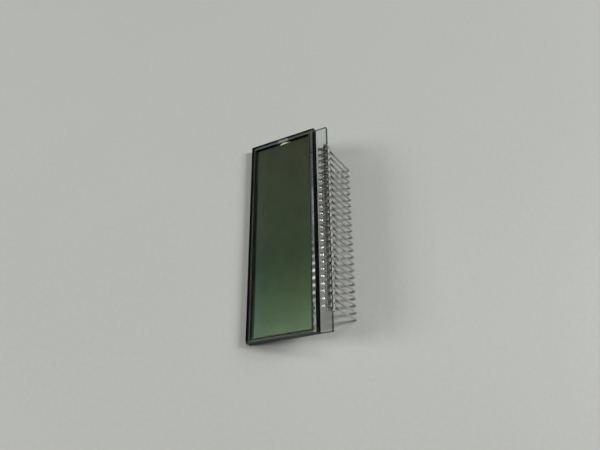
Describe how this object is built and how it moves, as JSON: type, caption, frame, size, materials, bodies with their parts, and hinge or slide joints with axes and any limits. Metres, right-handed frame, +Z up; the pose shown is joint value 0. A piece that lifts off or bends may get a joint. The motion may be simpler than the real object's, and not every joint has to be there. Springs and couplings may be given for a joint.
{
  "type": "segment lcd display",
  "caption": "Bare segment liquid-crystal display glass with polarisers and a row of clip-on metal pins, lying tilted on its long edge and its pin tips.",
  "frame": {"origin": "centre of the base of the display's box, on the surface that it lies on", "axes": "+Y along the long side of the glass and the row of pins, towards the end with the fill port; +X across the glass from the edge it lies on towards the pins; +Z up"},
  "size_m": [0.0288, 0.0604, 0.0123],
  "materials": {
    "glass": "polished, clear, with cut edges",
    "polariser": "glossy film",
    "reflector": "satin foil",
    "sealant": "cured epoxy",
    "port_resin": "cured resin",
    "liquid_crystal": "clear fluid",
    "electrode_film": "clear conductive film",
    "conductive_paste": "dull",
    "clear_resin": "clear, glossy",
    "pin_metal": "tinned, satin"
  },
  "bodies": {
    "root": {"rear_glass": "glass", "front_glass": "glass", "front_polariser": "polariser", "rear_polariser": "polariser", "reflector": "reflector", "edge_seal": "sealant", "port_plug": "port_resin", "liquid_crystal": "liquid_crystal", "segment_electrodes": "electrode_film", "common_electrodes": "electrode_film", "pin_leads": "electrode_film", "crossover_dots": "conductive_paste", "contact_paste": "conductive_paste", "clip_bead": "clear_resin", "pin_01": "pin_metal", "pin_02": "pin_metal", "pin_03": "pin_metal", "pin_04": "pin_metal", "pin_05": "pin_metal", "pin_06": "pin_metal", "pin_07": "pin_metal", "pin_08": "pin_metal", "pin_09": "pin_metal", "pin_10": "pin_metal", "pin_11": "pin_metal", "pin_12": "pin_metal", "pin_13": "pin_metal", "pin_14": "pin_metal", "pin_15": "pin_metal", "pin_16": "pin_metal", "pin_17": "pin_metal", "pin_18": "pin_metal", "pin_19": "pin_metal", "pin_20": "pin_metal", "pin_21": "pin_metal", "pin_22": "pin_metal", "pin_23": "pin_metal", "pin_24": "pin_metal"}
  },
  "joints": []
}
